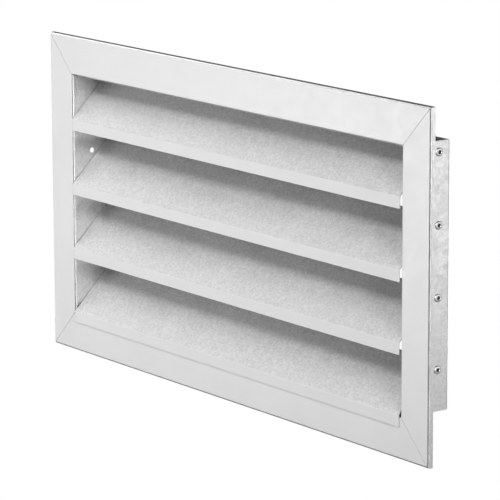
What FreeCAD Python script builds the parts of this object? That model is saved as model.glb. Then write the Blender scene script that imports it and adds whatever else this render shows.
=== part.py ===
import FreeCAD, Part

import math
import os

os.makedirs("parts", exist_ok=True)

V = FreeCAD.Vector

# A fixed-blade weather louvre folded from galvanised sheet steel, in millimetres.
# +X is right seen from outside, +Y goes into the wall and +Z is up.
# The origin is the centre of the opening, in the plane where the frame's edge seats on the wall.

# Sheet and folds
frame_sheet = 1.0
blade_sheet = 0.8
frame_bend = 0.6
blade_bend = 0.8

# Front frame and the collar that enters the wall
opening_width = 400.0
flange_width = 30.0
return_depth = 4.0
rear_lip_width = 15.0
mitre_gap = 0.3

# Blades
blade_count = 4
blade_pitch = 50.0
blade_angle = 45.0
blade_slope = 46.2
lip_height = 8.6
lip_side_gap = 1.0
lip_front_gap = 0.2
lowest_lip_lap = 7.3
blade_top_gap = 1.0
blade_rear_gap = 3.0
rear_fold = 5.0
end_fold = 7.5
end_fold_start = 8.0
notch_width = 1.0

# Blind rivets, drawn with flat sides
rivet_radius = 1.6
rivet_head_radius = 3.0
rivet_crown_radius = 1.8
rivet_head_height = 0.9
rivet_formed_radius = 2.4
rivet_formed_length = 2.2
rivet_bore_radius = 0.9
rivet_bore_depth = 1.6
rivet_sides = 10
rivet_edge = 4.6

# Screw holes in the side webs
screw_hole_radius = 2.1
screw_hole_gap = 1.6
screw_hole_depth = 17.6

# Flat plates behind the mitres, and angles inside the collar's corners
corner_plate_sheet = 1.2
corner_plate_leg = 55.0
corner_plate_gap = 1.5
angle_sheet = 1.0
angle_leg = 12.0
angle_length = 14.0
angle_gap = 2.0

# Bird guard of welded wire, drawn with flat sides, and the clips that hold it on the rear lips
wire_diameter = 1.8
wire_sides = 6
wire_pitch = 25.4
wire_overrun = 3.6
clip_sheet = 1.0
clip_width = 10.0
clip_foot = 8.0
clip_finger = 3.6
clip_bend = 0.3
clip_gap = 0.4

# How far a drill or a cutting block runs past the faces that it cuts
cut_overrun = 1.0

# Places that follow from the sizes above
slope_cos = math.cos(math.radians(blade_angle))
slope_sin = math.sin(math.radians(blade_angle))
front_y = -return_depth
lip_y = front_y - lip_front_gap - blade_sheet
blade_rise = lip_height + blade_slope * slope_sin
blade_rear_y = lip_y + blade_slope * slope_cos + end_fold * slope_sin
rear_y = blade_rear_y + blade_rear_gap + frame_sheet
half_width = opening_width / 2
opening_height = (blade_count - 1) * blade_pitch + blade_rise + blade_top_gap - lowest_lip_lap
half_height = opening_height / 2
outer_x = half_width + flange_width
outer_z = half_height + flange_width


def lip_base(number):
    """Height of the lower edge of a blade's lip; blade 1 is the top one."""
    return (blade_count - number) * blade_pitch - half_height - lowest_lip_lap


def blade_point(number, along, above):
    """(y, z) of a point on a blade, measured along its slope and square to its top surface."""
    y = lip_y + along * slope_cos - above * slope_sin
    z = lip_base(number) + lip_height + along * slope_sin + above * slope_cos
    return y, z


def blade_z(number, y, above):
    """Height at depth y of a line that runs parallel to a blade's slope, above its top surface."""
    return lip_base(number) + lip_height + (y - lip_y) * slope_sin / slope_cos + above / slope_cos


def blade_y(number, z, above):
    """Depth at height z of the same line."""
    return lip_y + (z - lip_base(number) - lip_height - above / slope_cos) * slope_cos / slope_sin


def shift_side(points, distance):
    """The same open path moved to its right-hand side, with mitred corners."""
    moved = []
    for index, (a, b) in enumerate(points):
        directions = []
        if index > 0:
            directions.append((a - points[index - 1][0], b - points[index - 1][1]))
        if index < len(points) - 1:
            directions.append((points[index + 1][0] - a, points[index + 1][1] - b))
        normals = []
        for run, rise in directions:
            length = math.hypot(run, rise)
            normals.append((rise / length, -run / length))
        sum_a = sum(n[0] for n in normals)
        sum_b = sum(n[1] for n in normals)
        scale = len(normals) * distance / (sum_a ** 2 + sum_b ** 2)
        moved.append((a + sum_a * scale, b + sum_b * scale))
    return moved


def turn_of(before, corner, after):
    """Signed turn of a path at a corner: negative to the right."""
    first = math.atan2(corner[1] - before[1], corner[0] - before[0])
    second = math.atan2(after[1] - corner[1], after[0] - corner[0])
    turn = second - first
    while turn > math.pi:
        turn -= 2 * math.pi
    while turn < -math.pi:
        turn += 2 * math.pi
    return turn


def rounded_edges(points, radii, place):
    """Edges of an open path with its corners rounded; place turns (a, b) into a 3D point."""
    edges = []
    start = points[0]
    for index in range(1, len(points) - 1):
        before, corner, after = points[index - 1], points[index], points[index + 1]
        turn = turn_of(before, corner, after)
        radius = radii[index - 1]
        cut = radius * math.tan(abs(turn) / 2)
        length_in = math.dist(before, corner)
        length_out = math.dist(corner, after)
        enter = [corner[k] + (before[k] - corner[k]) * cut / length_in for k in (0, 1)]
        leave = [corner[k] + (after[k] - corner[k]) * cut / length_out for k in (0, 1)]
        middle = [(enter[k] + leave[k]) / 2 for k in (0, 1)]
        reach = math.dist(middle, corner)
        centre_distance = radius / math.cos(abs(turn) / 2)
        bulge = [corner[k] + (middle[k] - corner[k]) * (centre_distance - radius) / reach for k in (0, 1)]
        edges.append(Part.LineSegment(place(*start), place(*enter)).toShape())
        edges.append(Part.Arc(place(*enter), place(*bulge), place(*leave)).toShape())
        start = leave
    edges.append(Part.LineSegment(place(*start), place(*points[-1])).toShape())
    return edges


def folded_sheet(points, sheet, bend, place, sweep):
    """A folded strip: an open path, thickened to its right-hand side, bent and swept straight."""
    turns = [turn_of(points[i - 1], points[i], points[i + 1]) for i in range(1, len(points) - 1)]
    face_radii = [bend + sheet if turn < 0 else bend for turn in turns]
    back_radii = [bend if turn < 0 else bend + sheet for turn in turns]
    back = shift_side(points, sheet)
    edges = rounded_edges(points, face_radii, place)
    edges.append(Part.LineSegment(place(*points[-1]), place(*back[-1])).toShape())
    edges.extend(rounded_edges(back[::-1], back_radii[::-1], place))
    edges.append(Part.LineSegment(place(*back[0]), place(*points[0])).toShape())
    return Part.Face(Part.Wire(edges)).extrude(sweep)


def prism(corners, sweep):
    """A straight solid on a flat outline."""
    return Part.Face(Part.makePolygon(corners + [corners[0]])).extrude(sweep)


def drill_side(shape, side, face_x, y, z, radius, sheet):
    """The shape with a round hole along X, through a sheet that runs outwards from face_x."""
    length = sheet + 2 * cut_overrun
    start = V(side * (face_x - cut_overrun), y, z)
    return shape.cut(Part.makeCylinder(radius, length, start, V(side, 0, 0)))


def end_rivet_place(number):
    """(y, z) of the rivet through each end fold of a blade, near the blade's rear edge."""
    return blade_point(number, blade_slope - rivet_edge, -end_fold / 2)


def screw_hole_places():
    """(y, z) of the side screw holes: above one middle blade, and under the next one below it."""
    y = front_y + screw_hole_depth
    off = screw_hole_radius + screw_hole_gap
    middle = blade_count // 2
    upper = blade_z(middle, y, off)
    lower = blade_z(middle + 1, y, -end_fold - off)
    return [(y, upper), (y, lower)]


def angle_places():
    """(name, side of X, side of Z, first y) of the angles in the collar's corners."""
    top_y = blade_y(1, half_height - angle_leg, 0) - angle_gap - angle_length
    bottom_y = blade_y(blade_count, angle_leg - half_height, -end_fold) + angle_gap
    return [
        ("top_left", -1, 1, top_y),
        ("top_right", 1, 1, top_y),
        ("bottom_left", -1, -1, bottom_y),
        ("bottom_right", 1, -1, bottom_y),
    ]


def wire_columns():
    """Places of the upright wires across the opening."""
    count = int(opening_width // wire_pitch) + 1
    return [(k - (count - 1) / 2) * wire_pitch for k in range(count)]


def wire_rows():
    """Heights of the level wires."""
    count = int(opening_height // wire_pitch) + 1
    return [(k - (count - 1) / 2) * wire_pitch for k in range(count)]


def clip_columns():
    """Places of the clips along a rear lip: in the middle, and near both ends."""
    columns = wire_columns()
    near_end = (columns[1] + columns[2]) / 2
    middle = 0.0 if len(columns) % 2 == 0 else wire_pitch / 2
    return [near_end, middle, -near_end]


def frame_path(half_opening):
    """Face side of a frame strip: return edge, flange, web and rear lip, as (outwards, y)."""
    outside = half_opening + flange_width
    lip_face = rear_y - frame_sheet
    return [
        (outside, 0.0),
        (outside, front_y),
        (half_opening, front_y),
        (half_opening, lip_face),
        (half_opening - rear_lip_width, lip_face),
    ]


def mitre_wedge(half_opening, other_half, place):
    """The wedge between the two mitre cuts of a frame strip; place turns (along, out) into a point."""
    inside = half_opening - rear_lip_width - cut_overrun
    outside = half_opening + flange_width + cut_overrun
    offset = other_half - half_opening - mitre_gap / math.sqrt(2)
    corners = [
        place(-(inside + offset), inside),
        place(inside + offset, inside),
        place(outside + offset, outside),
        place(-(outside + offset), outside),
    ]
    return prism(corners, V(0, rear_y - front_y + 2 * cut_overrun, 0))


def level_strip(side):
    """The top (1) or bottom (-1) strip of the frame."""
    half_length = outer_x + cut_overrun
    path = frame_path(half_height)
    run = V(2 * half_length, 0, 0)
    strip = folded_sheet(path, frame_sheet, frame_bend, lambda u, y: V(-half_length, y, side * u), run)
    wedge = mitre_wedge(half_height, half_width, lambda a, u: V(a, front_y - cut_overrun, side * u))
    return strip.common(wedge)


def upright_strip(side):
    """The right (1) or left (-1) strip of the frame, with its rivet and screw holes."""
    half_length = outer_z + cut_overrun
    path = frame_path(half_width)
    run = V(0, 0, 2 * half_length)
    strip = folded_sheet(path, frame_sheet, frame_bend, lambda u, y: V(side * u, y, -half_length), run)
    wedge = mitre_wedge(half_width, half_height, lambda a, u: V(side * u, front_y - cut_overrun, a))
    strip = strip.common(wedge)
    for number in range(1, blade_count + 1):
        y, z = end_rivet_place(number)
        strip = drill_side(strip, side, half_width, y, z, rivet_radius, frame_sheet)
    for y, z in screw_hole_places():
        strip = drill_side(strip, side, half_width, y, z, screw_hole_radius, frame_sheet)
    return strip


def blade_strip(path, half_length):
    """A length of the blade's section, folded along a (y, z) path and centred on the opening."""
    run = V(2 * half_length, 0, 0)
    return folded_sheet(path, blade_sheet, blade_bend, lambda y, z: V(-half_length, y, z), run)


def blade_fin(number, side, bend_start):
    """The end of a blade folded down beside the collar, with a flat overlap onto the slope."""
    def place(x, above):
        y, z = blade_point(number, end_fold_start, above)
        return V(side * x, y, z)

    overlap = 2 * blade_sheet
    path = [(bend_start - overlap, 0), (half_width, 0), (half_width, -end_fold)]
    length = blade_slope - end_fold_start - blade_bend - blade_sheet
    return folded_sheet(path, blade_sheet, blade_bend, place, V(0, slope_cos, slope_sin) * length)


def blade(number):
    """One blade: hanging front lip, slope, folded rear edge and a folded fin at each end."""
    base = lip_base(number)
    foot = (lip_y, base)
    brow = (lip_y, base + lip_height)
    crest = blade_point(number, blade_slope, 0)
    tail = blade_point(number, blade_slope, -rear_fold)
    shoulder = blade_point(number, end_fold_start - notch_width, 0)
    bend_start = half_width - blade_bend - blade_sheet
    shape = blade_strip([foot, brow, crest, tail], bend_start)
    shape = shape.fuse(blade_strip([foot, brow, shoulder], half_width - lip_side_gap))
    for side in (-1, 1):
        shape = shape.fuse(blade_fin(number, side, bend_start))
    shape = shape.removeSplitter()
    y, z = end_rivet_place(number)
    for side in (-1, 1):
        shape = drill_side(shape, side, half_width - blade_sheet, y, z, rivet_radius, blade_sheet)
    return shape


def polygon_at(radius, distance):
    """A regular outline square to the X axis."""
    corners = []
    for k in range(rivet_sides):
        angle = 2 * math.pi * k / rivet_sides
        corners.append(V(distance, radius * math.cos(angle), radius * math.sin(angle)))
    return Part.makePolygon(corners + [corners[0]])


def stub(radius_in, start, radius_out, end):
    """A straight or tapered length of a rivet along the X axis."""
    return Part.makeLoft([polygon_at(radius_in, start), polygon_at(radius_out, end)], True, True)


def blind_rivet(grip):
    """A set blind rivet along -X: crowned hollow head at 0, shank, and the head formed behind."""
    head = stub(rivet_head_radius, 0, rivet_crown_radius, rivet_head_height)
    shank = stub(rivet_radius, -grip, rivet_radius, 0)
    formed = stub(rivet_radius, -grip - rivet_formed_length, rivet_formed_radius, -grip)
    bore = stub(rivet_bore_radius, rivet_head_height - rivet_bore_depth, rivet_bore_radius, rivet_head_height)
    return head.fuse([shank, formed]).cut(bore).removeSplitter()


def end_rivets(side):
    """The rivets through one side of the collar and the blades' end folds."""
    solids = []
    for number in range(1, blade_count + 1):
        y, z = end_rivet_place(number)
        rivet = blind_rivet(frame_sheet + blade_sheet)
        if side < 0:
            rivet.rotate(V(0, 0, 0), V(0, 0, 1), 180)
        rivet.translate(V(side * (half_width + frame_sheet), y, z))
        solids.append(rivet)
    return Part.makeCompound(solids)


def corner_plate(x_side, z_side):
    """Flat L behind a mitre, spot welded to both flanges."""
    y = front_y + frame_sheet
    near = frame_sheet + corner_plate_gap
    far = flange_width - frame_sheet - corner_plate_gap
    end = far - corner_plate_leg
    outline = [(far, far), (far, end), (near, end), (near, near), (end, near), (end, far)]
    corners = [V(x_side * (half_width + a), y, z_side * (half_height + b)) for a, b in outline]
    return prism(corners, V(0, corner_plate_sheet, 0))


def corner_angle(x_side, z_side, first_y):
    """Small angle inside a corner of the collar, spot welded to both webs."""
    def place(a, b):
        return V(x_side * (half_width - a), first_y, z_side * (half_height - b))

    path = [(angle_leg, 0.0), (0.0, 0.0), (0.0, angle_leg)]
    return folded_sheet(path, angle_sheet, frame_bend, place, V(0, angle_length, 0))


def wire(start, run):
    """A straight many-sided wire that lies with a flat towards the frame."""
    tip = wire_diameter / 2 / math.cos(math.pi / wire_sides)
    across = V(0, 1, 0).cross(run).normalize()
    corners = []
    for k in range(wire_sides):
        angle = math.pi / 2 + math.pi * (2 * k + 1) / wire_sides
        corners.append(start + across * (tip * math.cos(angle)) + V(0, tip * math.sin(angle), 0))
    return prism(corners, run)


def bird_guard():
    """Welded wire grid on the rear lips: uprights against the lips, level wires behind them."""
    radius = wire_diameter / 2
    upright_y = rear_y + radius
    level_y = upright_y + wire_diameter
    half_x = wire_columns()[-1] + wire_overrun
    half_z = wire_rows()[-1] + wire_overrun
    uprights = [wire(V(x, upright_y, -half_z), V(0, 0, 2 * half_z)) for x in wire_columns()]
    levels = [wire(V(-half_x, level_y, z), V(2 * half_x, 0, 0)) for z in wire_rows()]
    return uprights[0].multiFuse(uprights[1:] + levels)


def guard_clip(x, side):
    """Folded strip, spot welded to a rear lip, that holds the outermost level wire."""
    row = wire_rows()[-1]
    top = rear_y + 2 * wire_diameter
    riser = row - wire_diameter / 2 - clip_gap - clip_sheet
    finger_end = row - wire_diameter / 2 + clip_finger

    def place(z, y):
        return V(x - clip_width / 2, y, side * z)

    path = [(finger_end, top), (riser, top), (riser, rear_y), (riser - clip_foot, rear_y)]
    return folded_sheet(path, clip_sheet, clip_bend, place, V(clip_width, 0, 0))


parts = {
    "frame_top": level_strip(1),
    "frame_bottom": level_strip(-1),
    "frame_left": upright_strip(-1),
    "frame_right": upright_strip(1),
    "blade_rivets_left": end_rivets(-1),
    "blade_rivets_right": end_rivets(1),
    "bird_guard": bird_guard(),
}
for number in range(1, blade_count + 1):
    parts["blade_%d" % number] = blade(number)
for name, x_side, z_side, first_y in angle_places():
    parts["corner_plate_" + name] = corner_plate(x_side, z_side)
    parts["corner_angle_" + name] = corner_angle(x_side, z_side, first_y)
for height, side in (("top", 1), ("bottom", -1)):
    for place_name, x in zip(("left", "middle", "right"), clip_columns()):
        parts["guard_clip_%s_%s" % (height, place_name)] = guard_clip(x, side)

for name, shape in parts.items():
    shape.exportStep("parts/%s.step" % name)
    print(name, shape.isValid(), len(shape.Solids), round(shape.Volume / 1000, 2), "cm3")
print("opening %.1f x %.1f" % (opening_width, opening_height))
print("frame %.1f x %.1f, depth %.1f" % (2 * outer_x, 2 * outer_z, rear_y - front_y))
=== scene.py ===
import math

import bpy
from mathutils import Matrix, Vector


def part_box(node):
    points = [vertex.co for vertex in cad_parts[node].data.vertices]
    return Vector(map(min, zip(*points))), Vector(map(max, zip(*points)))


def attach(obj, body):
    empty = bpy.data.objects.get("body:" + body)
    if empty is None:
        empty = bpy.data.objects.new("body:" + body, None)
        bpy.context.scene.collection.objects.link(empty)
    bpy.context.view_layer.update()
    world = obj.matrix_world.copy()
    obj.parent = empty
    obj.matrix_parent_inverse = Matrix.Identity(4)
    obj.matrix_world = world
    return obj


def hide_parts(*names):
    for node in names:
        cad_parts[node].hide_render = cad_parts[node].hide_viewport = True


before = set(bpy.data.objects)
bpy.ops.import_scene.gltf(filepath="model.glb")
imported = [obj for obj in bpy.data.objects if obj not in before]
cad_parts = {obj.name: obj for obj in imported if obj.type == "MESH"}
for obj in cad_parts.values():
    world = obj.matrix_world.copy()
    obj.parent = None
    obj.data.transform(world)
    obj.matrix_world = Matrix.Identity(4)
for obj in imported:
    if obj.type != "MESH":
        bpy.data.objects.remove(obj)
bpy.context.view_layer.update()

# %% [markdown]
# # A weather louvre in folded sheet steel
#
# The object is a ventilation grille for an outside wall: a frame folded from galvanised sheet, four
# sloping blades that shed rain, and a wire guard behind that keeps birds out. The folded sheet comes
# from the CAD model, where every bend has its real radius, so those pieces only get a finish here.
# The small round things, which the CAD draws with flat sides, are modelled again in this file.

# %% [markdown]
# ## Sizes that the new pieces share with the sheet metal
#
# Every length is in metres. A rivet's height is counted from the lower edge of its own blade, which is
# read from the CAD node, so it can't drift away from the blade. Its depth and the place of the collar's
# outer side are plain numbers, the same as in the sheet metal.

# %% Sizes in metres
MM = 0.001
blades = ["blade_%d" % number for number in range(1, 5)]
strips = ["frame_top", "frame_bottom", "frame_left", "frame_right"]
corners = ["top_left", "top_right", "bottom_left", "bottom_right"]
clip_rows = ("top", "bottom")
clip_columns = ("left", "middle", "right")
clips = ["guard_clip_%s_%s" % (row, column) for row in clip_rows for column in clip_columns]
web_outside = 201.0 * MM
rivet_rise = 35.36 * MM
rivet_depth = 27.07 * MM
print(len(blades), "blades,", len(strips), "strips,", len(clips), "clips")


# %% [markdown]
# ## Working by hand, but in code
#
# A modelling operator acts on whatever is selected. The CAD nodes arrive selected, so each new piece
# starts by clearing the selection. Faces are then picked by where they are or which way they look,
# just as one would click on them.

# %% Helpers for selecting and finishing
def clear_selection():
    """Nothing selected, object mode."""
    if bpy.context.object and bpy.context.object.mode != "OBJECT":
        bpy.ops.object.mode_set(mode="OBJECT")
    bpy.ops.object.select_all(action="DESELECT")


def pick_faces(piece, wanted):
    """Selects, in edit mode, the faces for which wanted(centre, normal) is true."""
    bpy.ops.object.mode_set(mode="EDIT")
    bpy.ops.mesh.select_mode(type="FACE")
    bpy.ops.mesh.select_all(action="DESELECT")
    bpy.ops.object.mode_set(mode="OBJECT")
    for face in piece.data.polygons:
        face.select = bool(wanted(face.center, face.normal))
    bpy.ops.object.mode_set(mode="EDIT")


def settle(piece):
    """The piece's place goes into its mesh, so that its object sits at the origin."""
    if piece.mode != "OBJECT":
        bpy.ops.object.mode_set(mode="OBJECT")
    bpy.ops.object.select_all(action="DESELECT")
    piece.select_set(True)
    bpy.context.view_layer.objects.active = piece
    bpy.ops.object.transform_apply(location=True, rotation=True, scale=True)
    return piece


def close_up(piece, smooth_degrees=40):
    """Merges doubles, turns every face outwards and smooths the shading of round parts."""
    settle(piece)
    bpy.ops.object.mode_set(mode="EDIT")
    bpy.ops.mesh.select_all(action="SELECT")
    bpy.ops.mesh.remove_doubles(threshold=0.002 * MM)
    bpy.ops.mesh.normals_make_consistent(inside=False)
    bpy.ops.object.mode_set(mode="OBJECT")
    bpy.ops.object.shade_smooth_by_angle(angle=math.radians(smooth_degrees))
    return piece


def copy_to(piece, shift):
    """A copy with its own mesh, moved by a vector."""
    clear_selection()
    piece.select_set(True)
    bpy.context.view_layer.objects.active = piece
    bpy.ops.object.duplicate(linked=False)
    made = bpy.context.object
    bpy.ops.transform.translate(value=shift)
    return settle(made)


def joined(pieces, name):
    """Several pieces made into one object."""
    clear_selection()
    for piece in pieces:
        piece.select_set(True)
    bpy.context.view_layer.objects.active = pieces[0]
    bpy.ops.object.join()
    whole = bpy.context.object
    whole.name = name
    whole.data.name = name
    return settle(whole)


# %% [markdown]
# ## A small language for finishes
#
# Blender builds a finish from nodes joined by wires. Two small classes make that readable: Value lets
# ordinary sums such as 1 - mask add the Math nodes, and Finish adds any other node in one line.

# %% Value and Finish
class Value:
    """A number that changes over a surface. Sums with it add Math nodes."""

    def __init__(self, finish, socket):
        self.finish = finish
        self.socket = socket

    def maths(self, operation, first, second):
        return self.finish.maths(operation, first, second)

    def __add__(self, other):
        return self.maths("ADD", self, other)

    def __sub__(self, other):
        return self.maths("SUBTRACT", self, other)

    def __mul__(self, other):
        return self.maths("MULTIPLY", self, other)

    def __rsub__(self, other):
        return self.maths("SUBTRACT", other, self)

    __radd__ = __add__
    __rmul__ = __mul__


class Finish:
    """A procedural material, built node by node. The world around the grille is built the same way."""

    def __init__(self, name, owners=bpy.data.materials):
        self.material = owners.new(name)
        self.material.use_nodes = True
        self.tree = self.material.node_tree
        self.tree.nodes.clear()

    def node(self, kind, settings=None, inputs=None, output=0):
        """Adds a node: settings first, then values or links. Returns the named output as a Value."""
        made = self.tree.nodes.new(kind)
        for key, setting in (settings or {}).items():
            setattr(made, key, setting)
        for key, given in (inputs or {}).items():
            if isinstance(given, Value):
                self.tree.links.new(given.socket, made.inputs[key])
            else:
                made.inputs[key].default_value = given
        return Value(self, made.outputs[output]) if made.outputs else None

    def place(self, stretch=(1, 1, 1)):
        """Object coordinates in metres, stretched along each axis."""
        raw = self.node("ShaderNodeTexCoord", output="Object")
        return self.node("ShaderNodeMapping", {}, {"Vector": raw, "Scale": stretch})

    def in_front_of(self, y):
        """1 where the surface lies ahead of a depth in metres, 0 behind it."""
        depth = self.node("ShaderNodeSeparateXYZ", {}, {0: self.place()}, "Y")
        return self.maths("LESS_THAN", depth, y)

    def maths(self, operation, first, second):
        """One Math node."""
        return self.node("ShaderNodeMath", {"operation": operation}, {0: first, 1: second}, "Value")

    def noise(self, size, detail=2.0, stretch=(1, 1, 1)):
        """Soft noise whose blots are about this size in metres."""
        inputs = {"Vector": self.place(stretch), "Scale": 1 / size, "Detail": detail}
        return self.node("ShaderNodeTexNoise", {}, inputs, "Fac")

    def crystals(self, size):
        """One random grey for each zinc crystal."""
        bend_size = size * 0.6
        wander = self.noise_vector(bend_size)
        shifted = {0: wander, 1: (size, size, size), 2: self.place()}
        wavy = self.node("ShaderNodeVectorMath", {"operation": "MULTIPLY_ADD"}, shifted)
        cell = self.node("ShaderNodeTexVoronoi", {}, {"Vector": wavy, "Scale": 1 / size}, "Color")
        return self.node("ShaderNodeSeparateColor", {}, {0: cell}, "Red")

    def noise_vector(self, size):
        """Noise with three different numbers at each point."""
        return self.node("ShaderNodeTexNoise", {}, {"Vector": self.place(), "Scale": 1 / size}, "Color")

    def blend(self, factor, first, second):
        """A colour between two others."""
        inputs = {0: factor, 6: first, 7: second}
        return self.node("ShaderNodeMix", {"data_type": "RGBA"}, inputs, 2)

    def bump(self, height, depth, strength=1.0):
        """Small relief: depth in metres for a height of 1."""
        inputs = {"Height": height, "Distance": depth, "Strength": strength}
        return self.node("ShaderNodeBump", {}, inputs, "Normal")

    def surface(self, **inputs):
        """The shader itself. Words such as base_color are turned into its socket names."""
        named = {key.replace("_", " ").title(): given for key, given in inputs.items()}
        shader = self.node("ShaderNodeBsdfPrincipled", {}, named, "BSDF")
        self.node("ShaderNodeOutputMaterial", {}, {"Surface": shader})
        return self.material


def grey(level, warmth=0.0):
    """A grey colour, a little warm or cool."""
    return (level * (1 + warmth), level, level * (1 - warmth), 1)


# %% [markdown]
# ## Galvanised sheet
#
# Hot-dipped zinc sets into crystals, the spangle. On this sheet they are small and pale, so from a step
# away it looks like a matte light grey with a fine grain. Five things are layered: the crystals, a finer
# speckle, the grain, cloudy patches from handling, and faint lines along the rolling direction. The front
# of the flange and of the lips is evened out and painted paler and less metallic than the rest of the
# sheet: painted light for the light those faces catch.

# %% The finish of the sheet metal
speckle_size = 1.2 * MM
grain_size = 1.1 * MM
cloud_size = 45 * MM
line_size = 1.6 * MM
line_stretch = 0.03
tone_shift = 0.38
# Tones and metal of the front faces, which are painted paler than the sheet as painted light.
painted_light_face_dark = 0.86
painted_light_face_light = 0.93
face_metal = 0.12


def zinc_sheet(name, light, dark, crystal, rough, metal, along, grain_depth, face_y):
    """Galvanised sheet. along is the axis of rolling; ahead of face_y the front face is smoothed and
    painted paler.
    """
    finish = Finish(name)
    face = finish.in_front_of(face_y)
    spangle = finish.crystals(crystal)
    speckle = finish.crystals(speckle_size)
    grain = finish.noise(grain_size, 3.0)
    clouds = finish.noise(cloud_size, 4.0)
    stretch = tuple(line_stretch if axis == along else 1.0 for axis in "XYZ")
    lines = finish.noise(line_size, 2.0, stretch)
    tone = spangle * 0.20 + speckle * 0.45 + grain * 0.45 + clouds * 0.45 + lines * 0.20 - tone_shift
    bare = finish.blend(tone, grey(dark), grey(light))
    # Painted light: ahead of face_y the sheet's own tone gives way to a paler, evened-out one.
    pale = finish.blend(clouds, grey(painted_light_face_dark), grey(painted_light_face_light))
    colour = finish.blend(face, bare, pale)
    shine = rough + (spangle - 0.5) * 0.10 + (clouds - 0.5) * 0.12
    bareness = metal - face * (metal - face_metal)
    uneven = grain * 0.6 + speckle * 0.35 + spangle * 0.2 + lines * 0.1
    relief = finish.bump(uneven * (1 - face * 0.8), grain_depth, 0.6)
    return finish.surface(base_color=colour, roughness=shine, metallic=bareness, normal=relief)


# Depths ahead of which the front faces of the flange and of the lips are painted paler as painted light.
flange_face = -3.93 * MM
lip_face = -4.93 * MM
frame_relief = 0.03 * MM
sheet_relief = 0.05 * MM
frame_level = zinc_sheet(
    "frame sheet, level strips", light=0.80, dark=0.62, crystal=4 * MM, rough=0.38, metal=0.88,
    along="X", grain_depth=frame_relief, face_y=flange_face,
)
# The upright strips are the same sheet as the level ones, painted lighter: painted light on the frame's
# sides.
frame_upright_painted_lighter = zinc_sheet(
    "frame sheet, upright strips, painted lighter", light=0.90, dark=0.62, crystal=4 * MM, rough=0.40, metal=0.85,
    along="Z", grain_depth=frame_relief, face_y=flange_face,
)
blade_finish = zinc_sheet(
    "blade sheet", light=0.86, dark=0.52, crystal=3 * MM, rough=0.50, metal=0.30,
    along="X", grain_depth=sheet_relief, face_y=lip_face,
)
# Brackets and clips get no painted-light front face, so its depth is set far ahead of them.
no_face = -1.0
bracket_finish = zinc_sheet(
    "bracket sheet", light=0.70, dark=0.55, crystal=5 * MM, rough=0.48, metal=0.6,
    along="Z", grain_depth=sheet_relief, face_y=no_face,
)
clip_finish = zinc_sheet(
    "clip strip", light=0.70, dark=0.55, crystal=3 * MM, rough=0.45, metal=0.6,
    along="X", grain_depth=sheet_relief, face_y=no_face,
)


def dress(node, material):
    """A CAD node keeps its shape and gets a new finish in all its slots."""
    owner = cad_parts[node]
    if not owner.material_slots:
        owner.data.materials.append(material)
    for slot in owner.material_slots:
        slot.material = material


for node in ("frame_top", "frame_bottom"):
    dress(node, frame_level)
# The sides get the lighter copy of the frame sheet, which is painted light.
for node in ("frame_left", "frame_right"):
    dress(node, frame_upright_painted_lighter)
for node in blades:
    dress(node, blade_finish)
for corner in corners:
    dress("corner_plate_" + corner, bracket_finish)
    dress("corner_angle_" + corner, bracket_finish)
for node in clips:
    dress(node, clip_finish)
print("sheet finishes on", len(strips) + len(blades) + 2 * len(corners) + len(clips), "CAD nodes")


# %% [markdown]
# ## Rivet and wire finishes
#
# A blind rivet is soft aluminium, a little brighter than zinc. The broken steel stem in its bore is
# darker, and its colour is painted near black as the bore's painted shade. The guard's wire is galvanised
# after welding, so zinc runs leave it dull and slightly lumpy.

# %% Aluminium, broken stem and galvanised wire
def rivet_aluminium():
    finish = Finish("rivet aluminium")
    scratches = finish.noise(0.35 * MM, 3.0)
    patches = finish.noise(2.5 * MM, 2.0)
    colour = finish.blend(scratches * 0.6 + patches * 0.4, grey(0.72), grey(0.88))
    relief = finish.bump(scratches, 0.02 * MM, 0.5)
    return finish.surface(base_color=colour, roughness=0.30 + patches * 0.15, metallic=0.8, normal=relief)


# Darker steel for the stem, with its colour painted near black as the bore's shade.
def broken_stem_and_bore_shade():
    finish = Finish("broken rivet stem and painted bore shade")
    rust = finish.noise(0.4 * MM, 3.0)
    colour = finish.blend(rust, grey(0.02), grey(0.09, 0.1))
    relief = finish.bump(rust, 0.05 * MM, 0.8)
    return finish.surface(base_color=colour, roughness=0.6 + rust * 0.2, metallic=0.5, normal=relief)


def guard_wire_zinc():
    finish = Finish("galvanised wire")
    runs = finish.noise(3.5 * MM, 3.0)
    grain = finish.noise(0.5 * MM, 2.0)
    colour = finish.blend(runs * 0.7 + grain * 0.3, grey(0.50), grey(0.74))
    relief = finish.bump(runs * 0.7 + grain * 0.3, 0.12 * MM, 0.6)
    return finish.surface(base_color=colour, roughness=0.42 + runs * 0.2, metallic=0.7, normal=relief)


rivet_finish = rivet_aluminium()
stem_and_bore_shade_finish = broken_stem_and_bore_shade()
wire_finish = guard_wire_zinc()

# %% [markdown]
# ## Blind rivets
#
# A rivet gun pulls a stem until the rivet's tail swells behind the sheet, then the stem snaps off inside
# the hollow head. The head starts as a short cylinder. Its rim is bevelled into a low dome, the crown is
# inset and pushed in for the bore, and the back is drawn out into the shank and the swollen tail.

# %% One blind rivet
head_radius = 3.0 * MM
head_height = 0.9 * MM
head_sides = 40
rim_bevel = 0.8 * MM
bore_radius = 0.9 * MM
bore_edge = 0.15 * MM
bore_edge_fall = 0.1 * MM
bore_depth = 1.5 * MM
shank_radius = 1.6 * MM
grip = 1.8 * MM
near = 0.01 * MM
# Each step of the swollen tail: its length in millimetres, and how much it widens.
tail_steps = ((0.15, 1.38), (0.5, 1.10), (0.6, 0.97), (0.6, 0.8), (0.25, 0.6))


def push_face(distance, side):
    """Extrudes the selected face along X."""
    bpy.ops.mesh.extrude_region_move(TRANSFORM_OT_translate={"value": (side * distance, 0, 0)})


def grow_face(factor, centre):
    """Scales the selected face about a point on the rivet's axis."""
    bpy.ops.transform.resize(value=(1, factor, factor), center_override=centre)


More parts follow.
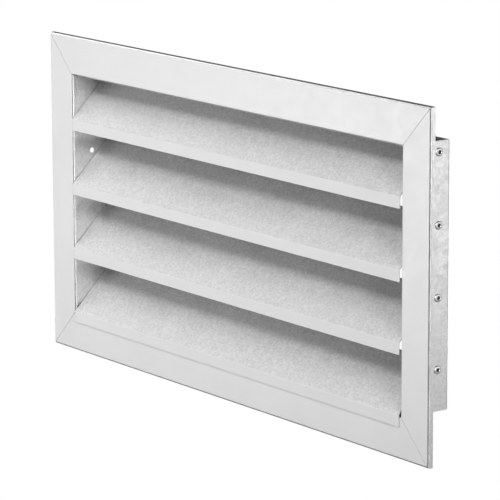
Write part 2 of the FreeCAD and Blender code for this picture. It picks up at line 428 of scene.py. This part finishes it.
def blind_rivet(side, y, z):
    """A set rivet through the web; side is 1 on the right and -1 on the left."""
    clear_selection()
    middle = side * (web_outside + head_height / 2)
    lying = (0, side * math.pi / 2, 0)
    bpy.ops.mesh.primitive_cylinder_add(
        vertices=head_sides, radius=head_radius, depth=head_height,
        location=(middle, y, z), rotation=lying,
    )
    rivet = settle(bpy.context.object)
    crown = side * (web_outside + head_height)
    pick_faces(rivet, lambda centre, normal: normal.x * side > 0.9)
    bpy.ops.mesh.bevel(offset=rim_bevel, segments=5, profile=0.6, affect="EDGES")
    pick_faces(rivet, lambda centre, normal: normal.x * side > 0.99 and abs(centre.x - crown) < near)
    crown_radius = head_radius - rim_bevel
    bpy.ops.mesh.inset(thickness=crown_radius - bore_radius - bore_edge, depth=0)
    bpy.ops.mesh.inset(thickness=bore_edge, depth=-bore_edge_fall)
    push_face(-bore_depth, side)
    seat = side * web_outside
    pick_faces(rivet, lambda centre, normal: normal.x * side < -0.9 and abs(centre.x - seat) < near)
    bpy.ops.mesh.inset(thickness=head_radius - shank_radius, depth=0)
    push_face(-grip, side)
    swell = side * (web_outside - grip)
    for length, factor in tail_steps:
        push_face(-length * MM, side)
        swell -= side * length * MM
        grow_face(factor, (swell, y, z))
    return close_up(rivet, 35)


# %% [markdown]
# The four rivets of a side are the same, so one is modelled and three are copied. The bore's floor gets
# the dark finish of the broken stem, painted near black as the bore's shade.

# %% Rivets on both sides of the collar
stem_below = 0.12 * MM
stem_margin = 0.02 * MM


def rivet_row(side, name, node):
    """The four rivets of one side as one object, in place of a CAD node."""
    lows = [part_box(blade)[0].z for blade in blades]
    first = blind_rivet(side, rivet_depth, lows[0] + rivet_rise)
    row = [first] + [copy_to(first, (0, 0, low - lows[0])) for low in lows[1:]]
    whole = joined(row, name)
    whole.data.materials.append(rivet_finish)
    whole.data.materials.append(stem_and_bore_shade_finish)
    # Faces deep in the bore get the stem finish, which paints the bore's shade near black.
    for face in whole.data.polygons:
        height = min(abs(face.center.z - (low + rivet_rise)) for low in lows)
        off_axis = math.hypot(face.center.y - rivet_depth, height)
        sunk = side * face.center.x < web_outside + head_height - stem_below
        inside = off_axis < bore_radius + stem_margin and side * face.center.x > web_outside - grip
        face.material_index = 1 if sunk and inside else 0
    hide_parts(node)
    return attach(whole, "root")


for side, name in ((1, "right"), (-1, "left")):
    row = rivet_row(side, "blind_rivets_" + name, "blade_rivets_" + name)
    print(row.name, len(row.data.polygons), "faces")

# %% [markdown]
# ## The bird guard
#
# Welded mesh is made flat: straight upright wires, level wires laid across them, and a spark at every
# crossing that sinks the two together and squeezes out a small bead. One wire of each direction and one
# bead are modelled, and Array modifiers repeat them at the mesh's pitch of an inch.

# %% Wires and beads
wire_radius = 0.9 * MM
wire_pitch = 25.4 * MM
wire_sink = 0.12 * MM
wire_sides = 14
wire_burr = 0.25 * MM
bead_radius = 1.25 * MM
bead_squash = 0.45
bead_flank = 0.7 * MM
bead_run = 0.25 * MM
guard_low, guard_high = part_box("bird_guard")
columns = 16
rows = 8
print("guard", [round(v * 1000, 1) for v in (*guard_low, *guard_high)])


def repeat(piece, count, step):
    """An applied Array modifier that repeats the piece at a fixed step."""
    clear_selection()
    piece.select_set(True)
    bpy.context.view_layer.objects.active = piece
    array = piece.modifiers.new("repeat", "ARRAY")
    array.count = count
    array.use_relative_offset = False
    array.use_constant_offset = True
    array.constant_offset_displace = step
    bpy.ops.object.modifier_apply(modifier=array.name)
    return piece


def straight_wire(centre, length, turn):
    """A round wire with sheared ends, slightly burred."""
    clear_selection()
    bpy.ops.mesh.primitive_cylinder_add(
        vertices=wire_sides, radius=wire_radius, depth=length, location=centre, rotation=turn
    )
    wire = settle(bpy.context.object)
    lows = [min(v.co[k] for v in wire.data.vertices) for k in range(3)]
    highs = [max(v.co[k] for v in wire.data.vertices) for k in range(3)]
    axis = max(range(3), key=lambda k: highs[k] - lows[k])
    pick_faces(wire, lambda centre, normal: abs(normal[axis]) > 0.9)
    bpy.ops.mesh.bevel(offset=wire_burr, segments=2, affect="EDGES")
    return close_up(wire, 40)


def weld_bead(x, y, z):
    """A squashed bead between two crossing wires."""
    clear_selection()
    bpy.ops.mesh.primitive_uv_sphere_add(segments=10, ring_count=6, radius=bead_radius, location=(x, y, z))
    bead = bpy.context.object
    bead.scale = (1.0, bead_squash, 1.0)
    settle(bead)
    pick_faces(bead, lambda centre, normal: centre.x > x + bead_flank)
    bpy.ops.mesh.extrude_region_move(TRANSFORM_OT_translate={"value": (bead_run, 0, 0)})
    return close_up(bead, 60)


upright_y = guard_low.y + wire_radius
level_y = guard_high.y - wire_radius - wire_sink
first_x = -(columns - 1) / 2 * wire_pitch
first_z = -(rows - 1) / 2 * wire_pitch
upright = straight_wire((first_x, upright_y, 0), guard_high.z - guard_low.z, (0, 0, 0))
repeat(upright, columns, (wire_pitch, 0, 0))
level = straight_wire((0, level_y, first_z), guard_high.x - guard_low.x, (0, math.pi / 2, 0))
repeat(level, rows, (0, 0, wire_pitch))
bead = weld_bead(first_x, (upright_y + level_y) / 2, first_z)
repeat(repeat(bead, columns, (wire_pitch, 0, 0)), rows, (0, 0, wire_pitch))
guard = joined([upright, level, bead], "welded_wire_guard")
guard.data.materials.append(wire_finish)
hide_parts("bird_guard")
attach(guard, "root")
print("guard has", len(guard.data.polygons), "faces")

# %% [markdown]
# ## Camera
#
# The viewpoint was found from the photograph's perspective: the grille is seen from the front right and
# a little above, through a long lens. The small shift is the photograph's own cropping.

# %% Camera at the photograph's place
picture_size = 500
focal_pixels = 3203.0
sensor = 36.0
yaw = math.radians(53.83)
pitch = math.radians(11.53)
roll = math.radians(0.205)
eye = Vector((1.8301, -1.3218, 0.4558))
camera_data = bpy.data.cameras.new("camera")
camera_data.sensor_width = sensor
camera_data.lens = focal_pixels / picture_size * sensor
camera_data.shift_x = 0.0024
camera_data.shift_y = -0.0176
camera_data.clip_end = 100
camera = bpy.data.objects.new("camera", camera_data)
bpy.context.scene.collection.objects.link(camera)
heading = Matrix.Rotation(yaw, 4, "Z")
nod = Matrix.Rotation(math.pi / 2 - pitch, 4, "X")
tilt = Matrix.Rotation(-roll, 4, "Z")
camera.matrix_world = Matrix.Translation(eye) @ (heading @ nod @ tilt)
bpy.context.scene.camera = camera
print("lens", round(camera_data.lens, 1), "mm")

# %% [markdown]
# ## Light and floor
#
# Two low lights stand far off at the right, so that the frame's right side shades the right end of each
# opening. A high light in front brightens the frame's face. A near softbox and a card at the left are
# mirrored in the blades, a card behind on the right is mirrored in the collar's side, and one low light
# shows the back. The floor and the room are white to the eye and dim to the metal, so that they don't
# wash out the openings. Nothing closes the back, so the slits beside the lips show the white room.

# %% Lights
def around(azimuth, elevation, distance):
    """A place seen from the grille: azimuth 0 is straight in front and 90 to the right."""
    a, e = math.radians(azimuth), math.radians(elevation)
    return Vector((math.sin(a) * math.cos(e), -math.cos(a) * math.cos(e), math.sin(e))) * distance


def soft_light(name, azimuth, elevation, distance, size, power):
    """A square area light aimed at the grille."""
    lamp = bpy.data.lights.new(name, "AREA")
    lamp.shape = "SQUARE"
    lamp.size = size
    lamp.energy = power
    holder = bpy.data.objects.new(name, lamp)
    bpy.context.scene.collection.objects.link(holder)
    holder.location = around(azimuth, elevation, distance)
    holder.rotation_euler = (-holder.location).to_track_quat("-Z", "Y").to_euler()
    return holder


# Name, azimuth and elevation in degrees, distance and size in metres, power in watts.
soft_light("right light", 76, 12, 8.0, 2.4, 300)
soft_light("low right light", 76, 5, 8.0, 1.6, 110)
soft_light("high front light", 0, 45, 8.0, 2.0, 236)
soft_light("left softbox", -75, 35, 1.6, 0.9, 6)
soft_light("left card", -40, 0, 1.6, 0.9, 9)
soft_light("rear right card", 126, -8, 2.0, 0.9, 5.8)
soft_light("low rear light", 200, -12, 1.5, 0.26, 2.5)
room = Finish("white room", bpy.data.worlds)
in_view = room.node("ShaderNodeLightPath", {}, {}, "Is Camera Ray")
backdrop = room.node("ShaderNodeBackground", {}, {"Color": grey(1.0), "Strength": in_view}, "Background")
room.node("ShaderNodeOutputWorld", {}, {"Surface": backdrop})
bpy.context.scene.world = room.material
bpy.context.scene.view_settings.view_transform = "Standard"

# %% [markdown]
# The floor is one plain sheet, well below the grille. To the eye it is white paper without shadows. To
# the lights it is a dim grey, so that it throws little light up into the openings.

# %% Floor
floor_drop = 0.45
floor_size = 40
floor_grey = 0.15
bpy.ops.object.select_all(action="DESELECT")
bpy.ops.mesh.primitive_plane_add(size=floor_size, location=(0, 0, -floor_drop))
floor = bpy.context.object
floor.name = "floor"
floor_finish = Finish("pale floor")
paper = floor_finish.node("ShaderNodeBsdfDiffuse", {}, {"Color": grey(floor_grey)}, "BSDF")
glow = floor_finish.node("ShaderNodeEmission", {}, {"Color": grey(1.0), "Strength": 1.0}, "Emission")
seen = floor_finish.node("ShaderNodeLightPath", {}, {}, "Is Camera Ray")
mixed = floor_finish.node("ShaderNodeMixShader", {}, {0: seen, 1: paper, 2: glow}, "Shader")
floor_finish.node("ShaderNodeOutputMaterial", {}, {"Surface": mixed})
floor.data.materials.append(floor_finish.material)
